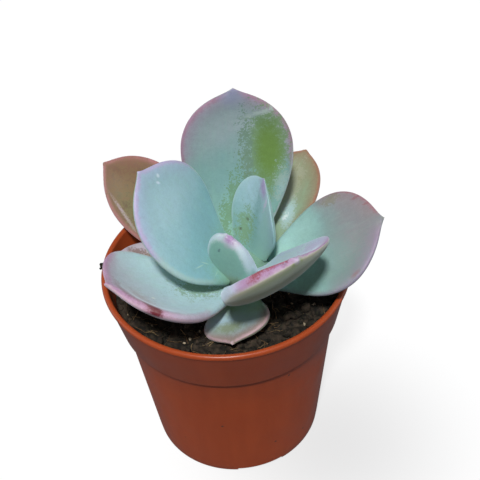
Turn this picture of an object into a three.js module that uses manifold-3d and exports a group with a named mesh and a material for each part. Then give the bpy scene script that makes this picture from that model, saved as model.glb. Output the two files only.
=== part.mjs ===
import * as THREE from 'three';
import { mergeVertices } from 'three/addons/utils/BufferGeometryUtils.js';
import Module from 'manifold-3d';

// An echeveria hybrid in a small round nursery pot, in millimetres, with +Z up.
// The origin is on the pot's axis, on the plane that the foot stands on.
// +X is to the right and -Y towards somebody who stands in front of the pot.

const wasm = await Module();
wasm.setup();

// Clearance between neighbours that touch on the real plant.
const gap = 0.35;

// The pot: a moulded 5.5 cm nursery pot.
const potHeight = 50;
const rimRadius = 27.5;
const lipHeight = 1.4;
const lipProud = 0.4;
const stepHeight = 38;
const collarFootRadius = 25;
const bodyTopRadius = 24;
const footRadius = 20;
const wall = 0.9;
const stepSlope = 0.8;
const footWidth = 1.6;
const footRound = 0.5;
const footDraft = 0.2;
const floorRise = 1.4;
const floorThickness = 1;
const padRadius = 4.5;
const potSides = 48;

// Slots through the foot, and the holes that water drains by.
const slotCount = 3;
const slotWidth = 11;
const slotHeight = 1;
const slotAngle = 283.5;
const drainCount = 6;
const drainRadius = 2.6;
const drainCircle = 12.5;

// The peat.
const soilLevel = 44.2;
const soilSides = 40;
const soilRings = 11;
const soilRelief = 0.55;
const moundHeight = 0.8;
const moundReach = 8;

// The stem stands a little right of the pot's centre and in front of it.
// It has its full radius above stemFoot, and side roots leave it at rootCrown.
const stemX = 3.5;
const stemY = -2.5;
const stemRadius = 3;
const stemTop = 50.2;
const stemSides = 20;
const stemFoot = 42;
const rootCrown = 38;
const rootCrownRadius = 2.1;
const rootTip = 20;
const rootTipRadius = 0.5;
const sideRoots = 5;
const sideRootRadius = 0.9;
const sideRootReach = 11;
const sideRootDrop = 14;

// Leaves. Angles are in degrees, and every leaf starts from these values.
//   azimuth   the way it points, turned from +X towards +Y
//   sweep     how far that turns from base to tip
//   rise      its angle above the horizontal at the base
//   curl      how far that grows from base to tip
//   roll      its turn about its own length at the base, and twist, the turn added by the tip
//   dish      how far the edges stand above the midrib
//   foot      height of the base, and reach, its distance from the stem's axis
//   widest    where it is widest, as a share of its length
//   bluntness exponent of the tip's outline, where less is blunter
//   neck      width at the base as a share of the full width
// It is thickest at the share fattest of its length, and thins to the share thinned of that.
const leafSides = 16;
const leafRows = 17;
const swelling = 1.5;
const shoulder = 2.2;
const fattest = 0.35;
const thinned = 0.55;
const tipLift = 0.2;
const plainLeaf = {
  sweep: -2,
  curl: 10,
  roll: 0,
  twist: 0,
  thickness: 3.2,
  upperShare: 0.3,
  reach: 3.5,
  widest: 0.62,
  bluntness: 0.57,
  neck: 0.31,
  point: 1,
};

// From the heart outwards, which is from the youngest leaf to the oldest.
// Each leaf stands about 137.5 degrees round the stem from the one before.
const leaves = [
  {
    name: 'leaf_heart_inner', azimuth: 324, rise: 84, curl: 4, foot: 50.6, reach: 0.9,
    length: 4.5, halfWidth: 1.6, thickness: 1.7, dish: 0.2,
  },
  {
    name: 'leaf_heart_outer', azimuth: 101, rise: 80, curl: 8, foot: 50.6, reach: 1.6,
    length: 6, halfWidth: 2.4, thickness: 2, dish: 0.3,
  },
  {
    name: 'leaf_bud_front', azimuth: 250, rise: 69, roll: -7, twist: -5, foot: 51, reach: 2,
    length: 14, halfWidth: 5.2, thickness: 4.4, dish: -0.3, bluntness: 0.25, neck: 0.34,
  },
  {
    name: 'leaf_bud_back', azimuth: 46, sweep: -26, rise: 73, curl: 7, roll: 7, twist: -17, foot: 51, reach: 2.2,
    length: 20, halfWidth: 7.8, thickness: 3.2, dish: 1.4, bluntness: 0.48,
  },
  {
    name: 'leaf_left_upper', azimuth: 183, sweep: -4, rise: 56, roll: -16, twist: -9, foot: 50,
    length: 32, halfWidth: 12.2, dish: 1.2, widest: 0.56, bluntness: 0.58, neck: 0.37,
  },
  {
    name: 'leaf_front_right', azimuth: 292, rise: 31, curl: 27, roll: 19, twist: -9, foot: 51.5,
    length: 34, halfWidth: 11.6, dish: 2, widest: 0.63, bluntness: 0.52, neck: 0.53,
  },
  {
    name: 'leaf_back_tall', azimuth: 86, sweep: 3, rise: 54, curl: 36, roll: -1, twist: 1, foot: 48.5,
    length: 39.5, halfWidth: 12, dish: 0.8, widest: 0.65, bluntness: 0.59,
  },
  {
    name: 'leaf_left_lower', azimuth: 215, sweep: -1, rise: 15, curl: 36, roll: -2, foot: 47,
    length: 33.5, halfWidth: 12.2, dish: 2.4, widest: 0.66, bluntness: 0.59, neck: 0.2,
  },
  {
    name: 'leaf_right', azimuth: 354, sweep: -7, rise: 28, curl: 12, roll: 17, twist: 3, foot: 48,
    length: 31, halfWidth: 11.8, dish: 0.6, bluntness: 0.66, neck: 0.32,
  },
  {
    name: 'leaf_back_left', azimuth: 138, rise: 25, curl: -12, roll: -36, twist: -6, foot: 47.5,
    length: 39, halfWidth: 8.6, dish: 1, widest: 0.59, bluntness: 0.63, neck: 0.3,
  },
  {
    name: 'leaf_front_low', azimuth: 263, sweep: -4, rise: 1, curl: 3, roll: 16, twist: 5, foot: 46.5,
    length: 15, halfWidth: 7.4, dish: 0.4, widest: 0.64, neck: 0.3,
  },
  {
    name: 'leaf_back_right', azimuth: 60, rise: 21, curl: 2, roll: 6, twist: 1, foot: 47.5,
    length: 31, halfWidth: 7.6, dish: 1.3, widest: 0.61, bluntness: 0.52, neck: 0.3,
  },
  {
    name: 'leaf_left_under', azimuth: 176, sweep: 2, rise: 9, curl: 12, foot: 45.5,
    length: 26, halfWidth: 9.4, dish: 0.8, widest: 0.61, bluntness: 0.58, neck: 0.3,
  },
];

const radians = THREE.MathUtils.degToRad;

// Solids and meshes

function toSolid(geometry) {
  const bare = geometry.clone();
  bare.deleteAttribute('normal');
  bare.deleteAttribute('uv');
  const merged = mergeVertices(bare, 1e-4);
  return new wasm.Manifold(new wasm.Mesh({
    numProp: 3,
    vertProperties: new Float32Array(merged.attributes.position.array),
    triVerts: new Uint32Array(merged.index.array),
  }));
}

function largestPiece(solid) {
  const pieces = solid.decompose();
  return pieces.reduce((best, piece) => (piece.volume() > best.volume() ? piece : best));
}

function toMesh(name, solid, material) {
  const { vertProperties, triVerts } = largestPiece(solid).getMesh();
  const geometry = new THREE.BufferGeometry();
  geometry.setAttribute('position', new THREE.BufferAttribute(vertProperties, 3));
  geometry.setIndex(new THREE.BufferAttribute(triVerts, 1));
  geometry.computeVertexNormals();
  const mesh = new THREE.Mesh(geometry, material);
  mesh.name = name;
  return mesh;
}

// A lathe turned about Z from a list of [radius, height].
function turned(profile, sides) {
  const points = profile.map(([radius, height]) => new THREE.Vector2(radius, height));
  return new THREE.LatheGeometry(points, sides).rotateX(Math.PI / 2);
}

// The pot

function outerRadius(height) {
  if (height >= stepHeight) {
    const share = (height - stepHeight) / (potHeight - lipHeight - stepHeight);
    return THREE.MathUtils.lerp(collarFootRadius, rimRadius - lipProud, Math.min(share, 1));
  }
  return THREE.MathUtils.lerp(footRadius, bodyTopRadius, height / stepHeight);
}

function innerRadius(height) {
  return outerRadius(height) - wall;
}

// The step of the collar on the inner wall, from its lower end to its upper.
const innerStep = [
  [innerRadius(stepHeight - stepSlope), stepHeight - stepSlope + wall / 4],
  [innerRadius(stepHeight), stepHeight + wall / 2],
];

function potSolid() {
  const floorTop = floorRise + floorThickness;
  const lipFoot = potHeight - lipHeight;
  const lipInner = rimRadius - lipProud - wall;
  const lipRound = (rimRadius - lipInner) / 2;
  const profile = [
    [0, 0],
    [padRadius, 0],
    [padRadius, floorRise],
    [footRadius - footWidth - footDraft, floorRise],
    [footRadius - footWidth, 0],
    [footRadius - footRound, 0],
    [footRadius, footRound],
    [outerRadius(stepHeight - stepSlope), stepHeight - stepSlope],
    [collarFootRadius, stepHeight],
    [rimRadius - lipProud, lipFoot],
    [rimRadius, lipFoot + lipProud],
  ];
  const roundSteps = 4;
  for (let i = 0; i <= roundSteps; i += 1) {
    const angle = (i / roundSteps) * Math.PI;
    profile.push([
      lipInner + lipRound * (1 + Math.cos(angle)),
      potHeight - lipRound * (1 - Math.sin(angle)),
    ]);
  }
  profile.push(innerStep[1], innerStep[0], [innerRadius(floorTop), floorTop], [0, floorTop]);
  let pot = toSolid(turned(profile, potSides));
  for (let i = 0; i < slotCount; i += 1) {
    const slot = new THREE.BoxGeometry(footWidth * 4, slotWidth, slotHeight * 2);
    slot.translate(footRadius, 0, 0);
    slot.rotateZ(radians(slotAngle + (i * 360) / slotCount));
    pot = pot.subtract(toSolid(slot));
  }
  for (let i = 0; i < drainCount; i += 1) {
    const drain = new THREE.CylinderGeometry(drainRadius, drainRadius, floorRise * 4, 16);
    drain.rotateX(Math.PI / 2);
    drain.translate(drainCircle, 0, floorRise);
    drain.rotateZ(((i + 0.5) / drainCount) * 2 * Math.PI);
    pot = pot.subtract(toSolid(drain));
  }
  return pot;
}

// The stem and its roots, one grown piece. swell makes it thicker all round.

function stemSolid(swell = 0) {
  const profile = [
    [0, rootTip - swell],
    [rootTipRadius + swell, rootTip - swell],
    [rootCrownRadius + swell, rootCrown],
    [stemRadius + swell, stemFoot],
    [stemRadius + swell, stemTop - stemRadius * 0.8],
    [stemRadius * 0.8 + swell, stemTop - stemRadius * 0.3],
    [stemRadius * 0.5 + swell, stemTop + swell],
    [0, stemTop + swell],
  ];
  const stem = turned(profile, stemSides);
  stem.translate(stemX, stemY, 0);
  let solid = toSolid(stem);
  for (let i = 0; i < sideRoots; i += 1) {
    const angle = radians(30 + (i * 360) / sideRoots);
    const reach = sideRootReach + 2 * (i % 3);
    const drop = sideRootDrop + 3 * (i % 2);
    const way = (share, fall) => new THREE.Vector3(
      stemX + Math.cos(angle + share * 0.5) * reach * share,
      stemY + Math.sin(angle + share * 0.5) * reach * share,
      rootCrown + 1 - drop * fall,
    );
    const path = new THREE.CatmullRomCurve3([way(0, 0), way(0.35, 0.15), way(0.75, 0.5), way(1, 1)]);
    const section = new THREE.Shape();
    section.absarc(0, 0, sideRootRadius + swell, 0, 2 * Math.PI);
    const root = new THREE.ExtrudeGeometry(section, { extrudePath: path, steps: 8, curveSegments: 6 });
    solid = solid.add(toSolid(root));
  }
  return solid;
}

// The peat: a plug that fits the pot, with a crumbled top.

function soilTop(x, y) {
  const fromStem = Math.hypot(x - stemX, y - stemY);
  const mound = moundHeight * Math.exp(-((fromStem / moundReach) ** 2));
  const coarse = Math.sin(0.62 * x + 1.1) * Math.cos(0.55 * y - 0.4);
  const fine = Math.sin(1.37 * x - 0.81 * y) * Math.cos(0.93 * x + 1.61 * y + 0.6);
  return soilLevel + mound + soilRelief * (0.55 * coarse + 0.45 * fine);
}

function soilGeometry() {
  const bottom = floorRise + floorThickness + gap;
  const profile = [
    [0, bottom],
    [innerRadius(bottom) - gap, bottom],
    ...innerStep.map(([radius, height]) => [radius - gap, height + gap]),
  ];
  const edge = innerRadius(soilLevel - 1) - gap;
  for (let i = 0; i <= soilRings; i += 1) {
    profile.push([edge * Math.sqrt(1 - i / soilRings), soilLevel]);
  }
  const soil = turned(profile, soilSides);
  const place = soil.attributes.position;
  for (let i = 0; i < place.count; i += 1) {
    if (place.getZ(i) > soilLevel - 0.01) {
      place.setZ(i, soilTop(place.getX(i), place.getY(i)));
    }
  }
  return soil;
}

// A leaf: a sphere's poles become base and tip, and its rings the sections between them.

function halfWidthAt(leaf, t) {
  if (t < leaf.widest) {
    const opening = Math.sin((t / leaf.widest) * (Math.PI / 2)) ** swelling;
    return leaf.halfWidth * (leaf.neck + (1 - leaf.neck) * opening);
  }
  const past = (t - leaf.widest) / (1 - leaf.widest);
  return leaf.halfWidth * Math.max(1 - past ** shoulder, 0) ** leaf.bluntness;
}

function thicknessAt(leaf, t) {
  const middle = Math.cos(((t - fattest) / (1 - fattest)) * (Math.PI / 2));
  return leaf.thickness * (thinned + (1 - thinned) * middle) * Math.sqrt(Math.max(1 - t ** 6, 0));
}

// The direction of the midrib, and the directions across the leaf and out of its upper face.
function leafAxes(leaf, t) {
  const rise = radians(leaf.rise + leaf.curl * t);
  const azimuth = radians(leaf.azimuth + leaf.sweep * t);
  const along = new THREE.Vector3(
    Math.cos(rise) * Math.cos(azimuth),
    Math.cos(rise) * Math.sin(azimuth),
    Math.sin(rise),
  );
  const across = new THREE.Vector3(-Math.sin(azimuth), Math.cos(azimuth), 0);
  across.applyAxisAngle(along, radians(leaf.roll + leaf.twist * t));
  const up = new THREE.Vector3().crossVectors(along, across);
  return { along, across, up };
}

function leafBase(leaf) {
  const azimuth = radians(leaf.azimuth);
  return new THREE.Vector3(
    stemX + leaf.reach * Math.cos(azimuth),
    stemY + leaf.reach * Math.sin(azimuth),
    leaf.foot,
  );
}

// Sections from base to tip, closer together towards the tip.
function leafSections(leaf) {
  const finesse = 12;
  const point = leafBase(leaf);
  const sections = [];
  let before = 0;
  for (let row = 0; row <= leafRows; row += 1) {
    const t = Math.sin((Math.max(row - 1, 0) / (leafRows - 1)) * (Math.PI / 2));
    const step = (t - before) / finesse;
    for (let i = 0; i < finesse; i += 1) {
      point.addScaledVector(leafAxes(leaf, before + (i + 0.5) * step).along, step * leaf.length);
    }
    sections.push({ t, point: point.clone(), ...leafAxes(leaf, t) });
    before = t;
  }
  return sections;
}

function leafGeometry(given, swell = 0) {
  const leaf = { ...plainLeaf, ...given };
  const sections = leafSections(leaf);
  const blank = new THREE.SphereGeometry(1, leafSides, leafRows);
  const place = blank.attributes.position;
  const uv = blank.attributes.uv;
  for (let i = 0; i < place.count; i += 1) {
    const row = Math.round((1 - uv.getY(i)) * leafRows);
    const { t, point, along, across, up } = sections[row];
    const spot = point.clone();
    if (row === 0) {
      spot.addScaledVector(along, -swell);
    } else if (row === leafRows) {
      spot.addScaledVector(along, leaf.point + swell).addScaledVector(up, tipLift);
    } else {
      const angle = -uv.getX(i) * 2 * Math.PI;
      const share = Math.sin(angle) > 0 ? leaf.upperShare : 1 - leaf.upperShare;
      const width = halfWidthAt(leaf, t);
      const rim = leaf.dish * (width / leaf.halfWidth) ** 2 * Math.cos(angle) ** 2;
      spot.addScaledVector(across, Math.cos(angle) * (width + swell));
      spot.addScaledVector(up, Math.sin(angle) * (share * thicknessAt(leaf, t) + swell) + rim);
    }
    place.setXYZ(i, spot.x, spot.y, spot.z);
  }
  return blank;
}

// Materials

function matt(colour, roughness) {
  return new THREE.MeshStandardMaterial({ color: colour, roughness, metalness: 0 });
}

const materials = {
  pot: matt(0x9c4529, 0.45),
  soil: matt(0x2c231d, 0.95),
  stem: matt(0x8f9a72, 0.7),
  leaf: matt(0x8fb3ac, 0.6),
  olderLeaf: matt(0x8d8c6e, 0.6),
};
const olderLeaves = ['leaf_back_left', 'leaf_back_right', 'leaf_left_under'];

// Assembly

const plant = new THREE.Group();
const stem = stemSolid();
const stemRoom = stemSolid(gap);
let soil = toSolid(soilGeometry()).subtract(stemRoom);
let younger = stemRoom;
for (const leaf of leaves) {
  const solid = toSolid(leafGeometry(leaf));
  const room = toSolid(leafGeometry(leaf, gap));
  const material = olderLeaves.includes(leaf.name) ? materials.olderLeaf : materials.leaf;
  plant.add(toMesh(leaf.name, solid.subtract(younger), material));
  younger = younger.add(room);
  soil = soil.subtract(room);
}
plant.add(toMesh('stem_with_roots', stem, materials.stem));
plant.add(toMesh('soil', soil, materials.soil));
plant.add(toMesh('pot', potSolid(), materials.pot));

export default plant;
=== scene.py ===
# %% [markdown]
# # A young echeveria in its nursery pot
#
# The real thing is a small succulent, a rosette of thick leaves on a short stem, rooted in
# peat in a moulded plastic pot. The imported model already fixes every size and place.
# What is left for Blender is what a step closer shows: the rounded margins and the powdery
# wax of the leaves, where that wax is rubbed off, crumbly peat and the dull shine of plastic.

import math
import random
from collections import namedtuple

import bmesh
import bpy
import numpy as np
from mathutils import Matrix, Quaternion, Vector, noise


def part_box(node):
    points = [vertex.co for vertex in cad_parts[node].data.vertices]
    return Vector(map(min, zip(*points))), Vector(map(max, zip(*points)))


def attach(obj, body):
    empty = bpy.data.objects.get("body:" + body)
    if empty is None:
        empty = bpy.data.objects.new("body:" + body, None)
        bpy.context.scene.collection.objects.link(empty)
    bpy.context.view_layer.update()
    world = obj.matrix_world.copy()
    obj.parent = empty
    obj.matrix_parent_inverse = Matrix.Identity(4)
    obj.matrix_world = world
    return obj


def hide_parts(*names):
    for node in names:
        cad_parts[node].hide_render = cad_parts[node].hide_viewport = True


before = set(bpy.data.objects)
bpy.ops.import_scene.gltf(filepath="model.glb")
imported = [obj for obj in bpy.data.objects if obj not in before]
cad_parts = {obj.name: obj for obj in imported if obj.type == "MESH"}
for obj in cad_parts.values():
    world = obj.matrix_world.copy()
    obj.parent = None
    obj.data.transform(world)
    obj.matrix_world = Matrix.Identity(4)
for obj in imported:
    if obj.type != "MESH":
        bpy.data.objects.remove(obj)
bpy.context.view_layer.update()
MM = 0.001
POT_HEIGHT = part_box("pot")[1].z
RIM_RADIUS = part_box("pot")[1].x
print("pot", round(POT_HEIGHT / MM, 1), "mm high,", round(2 * RIM_RADIUS / MM, 1), "mm across")

# %% [markdown]
# ## The camera
#
# The photograph looks down on the plant from in front, at 42 degrees, with the camera
# turned a little on its own axis. A camera can be placed by hand and eye. Here the place was
# worked out from the outline of the pot, whose real size is known, so it is set by numbers:
# what it aims at, how far away it stands, and its focal length in pixels of the picture.

# %% Place the camera
AIM = Vector((3.55, 0.0, 56.35)) * MM
DISTANCE = 200 * MM
ELEVATION = math.radians(42)
ROLL = math.radians(-4.2)
FOCAL_PIXELS = 927.4
PICTURE_PIXELS = 480
SENSOR_MM = 36
CLIP_START = 10 * MM


def add_object(name, data):
    """Puts an object in the scene. A bmesh is made into its mesh first."""
    if isinstance(data, bmesh.types.BMesh):
        mesh = bpy.data.meshes.new(name)
        data.to_mesh(mesh)
        data.free()
        data = mesh
    made = bpy.data.objects.new(name, data)
    bpy.context.scene.collection.objects.link(made)
    return made


backward = Vector((0, -math.cos(ELEVATION), math.sin(ELEVATION)))
level = Vector((1, 0, 0))
upright = level.cross(-backward)
rightward = math.cos(ROLL) * level + math.sin(ROLL) * upright
upward = math.cos(ROLL) * upright - math.sin(ROLL) * level

lens = bpy.data.cameras.new("studio_camera")
lens.sensor_width = SENSOR_MM
lens.lens = SENSOR_MM * FOCAL_PIXELS / PICTURE_PIXELS
lens.clip_start = CLIP_START
camera = add_object("studio_camera", lens)
turn = Matrix((rightward, upward, backward)).transposed()
camera.matrix_world = Matrix.Translation(AIM + backward * DISTANCE) @ turn.to_4x4()
bpy.context.scene.camera = camera
print("lens", round(lens.lens, 1), "mm")

# %% [markdown]
# ## Helpers for materials and pieces
#
# Colours are picked on screen as sRGB hex values, but Blender's sockets take linear light, so
# one function turns them. A material is a tree of nodes, and one small function adds a node
# with its settings and its inputs, which are numbers or the outputs of other nodes.

# %% Define the helpers
SAME_POINT = 1e-7


def linear(hex_colour):
    """An sRGB hex colour as linear red, green, blue and alpha, by that standard's own curve."""
    parts = [int(hex_colour[i:i + 2], 16) / 255 for i in (1, 3, 5)]
    bright = [p / 12.92 if p <= 0.04045 else ((p + 0.055) / 1.055) ** 2.4 for p in parts]
    return (*bright, 1.0)


def add(tree, kind, inputs=None, **settings):
    """Adds a shader node with its settings and inputs, and returns its outputs."""
    made = tree.nodes.new("ShaderNode" + kind)
    for name, value in settings.items():
        setattr(made, name, value)
    for socket, value in (inputs or {}).items():
        if isinstance(value, bpy.types.NodeSocket):
            tree.links.new(value, made.inputs[socket])
        else:
            made.inputs[socket].default_value = value
    return made.outputs


def layered(tree, base, layers):
    """Lays colours over a base colour, each as thick as its mask says, and returns the tone."""
    tone = linear(base)
    for mask, colour in layers:
        tone = add(tree, "Mix", {0: mask, 6: tone, 7: linear(colour)}, data_type="RGBA")[2]
    return tone


def finish(name, sockets):
    """A material whose shader has these constants, with its tree and shader."""
    material = bpy.data.materials.new(name)
    material.use_nodes = True
    tree = material.node_tree
    shader = tree.nodes["Principled BSDF"]
    for socket, value in sockets.items():
        shader.inputs[socket].default_value = value
    return material, tree, shader


def piece(name, maker, material, slot, *stands_for):
    """Turns a bmesh into a smooth-shaded piece that rides on the part."""
    made = add_object(name, maker)
    made.data.shade_smooth()
    made.data.materials.append(material)
    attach(made, "root")
    if stands_for:
        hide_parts(*stands_for)
    print(name, len(made.data.polygons), "faces")
    return made


def spun(profile, steps):
    """A closed body turned about Z from its (radius, height) outline."""
    maker = bmesh.new()
    verts = [maker.verts.new((radius, 0, height)) for radius, height in profile]
    edges = [maker.edges.new(pair) for pair in zip(verts, verts[1:])]
    bmesh.ops.spin(maker, geom=verts + edges, cent=(0, 0, 0), axis=(0, 0, 1), dvec=(0, 0, 0),
                   angle=2 * math.pi, steps=steps, use_merge=True)
    bmesh.ops.remove_doubles(maker, verts=maker.verts, dist=SAME_POINT)
    bmesh.ops.recalc_face_normals(maker, faces=maker.faces)
    return maker


# %% [markdown]
# ## The studio
#
# In the photograph the shadow of one leaf lies just behind it on the next, hardly to be seen
# from the front, and its edge is fairly crisp. So the main light stands above the camera, a
# little to the left: a sun lamp with a disc a few degrees wide. A weak sky fills the shadows,
# and two wide low lamps brighten the flanks of the pot, as white walls would. The paper is
# nearly white by itself, and hardly any shadow shows on it, so most of its light is its own.
# To the right of the pot a soft grey shade is painted into the paper's own light. Its bounce is
# kept off the plant, because in the photograph little light comes from below.

# %% Light the studio
LAMPS = {
    "key_light": (3.0, 6, (-0.06, -0.58, 1)),
    "left_fill": (0.8, 50, (-1, 0.2, 0.22)),
    "right_fill": (0.5, 50, (1, 0.2, 0.22)),
}
SKY_COLOUR = "#eef4ff"
SKY_STRENGTH = 0.17
PAPER_GREY = "#6e6e6e"
PAPER_WHITE = "#ffffff"
PAPER_GLOW = 0.85
PAPER_GLOW_IN_SHADE = 0.64
SHADE_MIDDLE = Vector((22, -14, 0))
SHADE_REACH = 46
PAPER_REACH = 15

bpy.context.scene.view_settings.view_transform = "Standard"
for lamp_name, (strength, width, where_from) in LAMPS.items():
    lamp = bpy.data.lights.new(lamp_name, "SUN")
    lamp.energy = strength
    lamp.angle = math.radians(width)
    light = add_object(lamp_name, lamp)
    light.rotation_euler = Vector(where_from).to_track_quat("Z", "Y").to_euler()
    print(lamp_name, strength, "W/m2")

sky = bpy.data.worlds.new("studio_sky")
sky.use_nodes = True
background = sky.node_tree.nodes["Background"]
background.inputs["Color"].default_value = linear(SKY_COLOUR)
background.inputs["Strength"].default_value = SKY_STRENGTH
bpy.context.scene.world = sky

maker = bmesh.new()
bmesh.ops.create_grid(maker, x_segments=1, y_segments=1, size=PAPER_REACH)
floor = add_object("studio_floor", maker)
floor.visible_diffuse = False
floor.visible_glossy = False
paper, tree, shader = finish("matt_white_paper", {
    "Base Color": linear(PAPER_GREY), "Roughness": 0.95, "Specular IOR Level": 0.0,
    "Emission Color": linear(PAPER_WHITE)})
place = add(tree, "TexCoord")["Object"]
# Painted shade: the paper's own light is turned down round a point right of the pot, so a soft grey
# lies there.
away = add(tree, "VectorMath", {0: place, 1: SHADE_MIDDLE * MM}, operation="DISTANCE")["Value"]
glow_and_painted_shade = add(tree, "MapRange", {"Value": away, "From Max": SHADE_REACH * MM,
                              "To Min": PAPER_GLOW_IN_SHADE, "To Max": PAPER_GLOW},
           interpolation_type="SMOOTHSTEP")[0]
tree.links.new(glow_and_painted_shade, shader.inputs["Emission Strength"])
floor.data.materials.append(paper)
print("paper floor", 2 * PAPER_REACH, "m wide")

# %% [markdown]
# ## The pot
#
# It is injection-moulded polypropylene, under a millimetre thick, with a straight collar
# above a small step, a rolled lip, and a foot ring with slots. Such a body is turned, so one
# outline spun about the axis makes it, floor and inner wall too. The mould's edges are
# never quite sharp, so every ring of edges that bends is bevelled. The straight wall gets
# rings too, so that the shading stays smooth above the slots. The slots and the drain
# holes are then cut out, as the pins of the mould would leave them.

# %% Turn the pot
LIP_HEIGHT = 1.4
LIP_PROUD = 0.4
STEP_HEIGHT = 38
STEP_SLOPE = 0.8
COLLAR_FOOT_RADIUS = 25
BODY_TOP_RADIUS = 24
FOOT_RADIUS = 20
WALL = 0.9
FOOT_WIDTH = 1.6
FOOT_ROUND = 0.5
FOOT_DRAFT = 0.2
FLOOR_RISE = 1.4
FLOOR_TOP = 2.4
PAD_RADIUS = 4.5
POT_STEPS = 144
LIP_STEPS = 10
MOULD_EDGE = 0.18
SHARPEST_LEFT = math.radians(14)
NEAR_AXIS = 1 * MM
WALL_RINGS = (2.6, 4, 12, 20, 28)

rim = RIM_RADIUS / MM
top = POT_HEIGHT / MM


def outer_radius(height):
    """Radius of the pot's outer wall, in millimetres."""
    if height >= STEP_HEIGHT:
        share = min((height - STEP_HEIGHT) / (top - LIP_HEIGHT - STEP_HEIGHT), 1)
        return COLLAR_FOOT_RADIUS + share * (rim - LIP_PROUD - COLLAR_FOOT_RADIUS)
    return FOOT_RADIUS + (BODY_TOP_RADIUS - FOOT_RADIUS) * height / STEP_HEIGHT


def inner_radius(height):
    """Radius of the pot's inner wall, in millimetres."""
    return outer_radius(height) - WALL


lip_foot = top - LIP_HEIGHT
lip_inner = rim - LIP_PROUD - WALL
lip_round = (rim - lip_inner) / 2
outline = [
    (0, 0), (PAD_RADIUS, 0), (PAD_RADIUS, FLOOR_RISE),
    (FOOT_RADIUS - FOOT_WIDTH - FOOT_DRAFT, FLOOR_RISE), (FOOT_RADIUS - FOOT_WIDTH, 0),
    (FOOT_RADIUS - FOOT_ROUND, 0), (FOOT_RADIUS, FOOT_ROUND),
    *[(outer_radius(height), height) for height in WALL_RINGS],
    (outer_radius(STEP_HEIGHT - STEP_SLOPE), STEP_HEIGHT - STEP_SLOPE),
    (COLLAR_FOOT_RADIUS, STEP_HEIGHT), (rim - LIP_PROUD, lip_foot),
    (rim, lip_foot + LIP_PROUD),
]
for i in range(LIP_STEPS + 1):
    angle = math.pi * i / LIP_STEPS
    outline.append((lip_inner + lip_round * (1 + math.cos(angle)),
                    top - lip_round * (1 - math.sin(angle))))
outline += [
    (inner_radius(STEP_HEIGHT), STEP_HEIGHT + WALL / 2),
    (inner_radius(STEP_HEIGHT - STEP_SLOPE), STEP_HEIGHT - STEP_SLOPE + WALL / 4),
    (inner_radius(FLOOR_TOP), FLOOR_TOP), (0, FLOOR_TOP),
]
pot = spun([(radius * MM, height * MM) for radius, height in outline], POT_STEPS)
bends = [edge for edge in pot.edges if edge.is_manifold
         and edge.calc_face_angle() > SHARPEST_LEFT and edge.verts[0].co.xy.length > NEAR_AXIS]
bmesh.ops.bevel(pot, geom=bends, offset=MOULD_EDGE * MM, offset_type="OFFSET", segments=2,
                profile=0.5, affect="EDGES", material=-1, clamp_overlap=True)
print("pot outline of", len(outline), "points,", len(bends), "edges rounded")

# %% Cut the foot slots and the drain holes
SLOT_COUNT = 3
SLOT_WIDTH = 11
SLOT_HEIGHT = 1
SLOT_ANGLE = 283.5
DRAIN_COUNT = 6
DRAIN_RADIUS = 2.6
DRAIN_CIRCLE = 12.5
DRAIN_SEGMENTS = 40

cutters = bmesh.new()
for i in range(SLOT_COUNT):
    place = (Matrix.Rotation(math.radians(SLOT_ANGLE + i * 360 / SLOT_COUNT), 4, "Z")
             @ Matrix.Translation((FOOT_RADIUS * MM, 0, 0))
             @ Matrix.Diagonal((FOOT_WIDTH * 4 * MM, SLOT_WIDTH * MM, SLOT_HEIGHT * 2 * MM, 1)))
    bmesh.ops.create_cube(cutters, size=1, matrix=place)
for i in range(DRAIN_COUNT):
    place = (Matrix.Rotation(math.tau * (i + 0.5) / DRAIN_COUNT, 4, "Z")
             @ Matrix.Translation((DRAIN_CIRCLE * MM, 0, FLOOR_RISE * MM)))
    bmesh.ops.create_cone(cutters, cap_ends=True, segments=DRAIN_SEGMENTS,
                          radius1=DRAIN_RADIUS * MM, radius2=DRAIN_RADIUS * MM,
                          depth=4 * FLOOR_RISE * MM, matrix=place)


def cut(body, tools):
    """Takes the tools away from the body and returns the body that is left."""
    shapes = [add_object("cutting", maker) for maker in (body, tools)]
    blade = shapes[0].modifiers.new("cut", "BOOLEAN")
    blade.object = shapes[1]
    blade.operation = "DIFFERENCE"
    blade.solver = "EXACT"
    seen = bpy.context.evaluated_depsgraph_get()
    left = bmesh.new()
    left.from_mesh(shapes[0].evaluated_get(seen).to_mesh())
    for shape in shapes:
        mesh = shape.data
        bpy.data.objects.remove(shape)
        bpy.data.meshes.remove(mesh)
    return left


pot = cut(pot, cutters)
print("pot has", len(pot.faces), "faces")

# %% [markdown]
# ## Injection-moulded polypropylene
#
# The pot's plastic is coloured right through, slightly milky, and has the dull shine of a
# fine-textured mould. So the colour comes from a base colour with a little scattering under
# it, and the shine from a medium roughness that a fine noise breaks up. Flow marks from the
# mould run up the wall, and dried peat water has left specks and a faint bloom.

# %% Mix the plastic
PLASTIC_COLOUR = "#a84a24"
PLASTIC_DEEP = "#9f441f"
DUST_COLOUR = "#4a382c"
FLOW_MARK = 3 * MM
FLOW_STRETCH = 0.08
BLOOM = 9 * MM
SPECK_SPACING = 4.5 * MM
SPECK_PATCH = 14 * MM
MOULD_GRAIN = 0.35 * MM
MOULD_RELIEF = 0.03 * MM
CREASE = math.radians(40)

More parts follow.
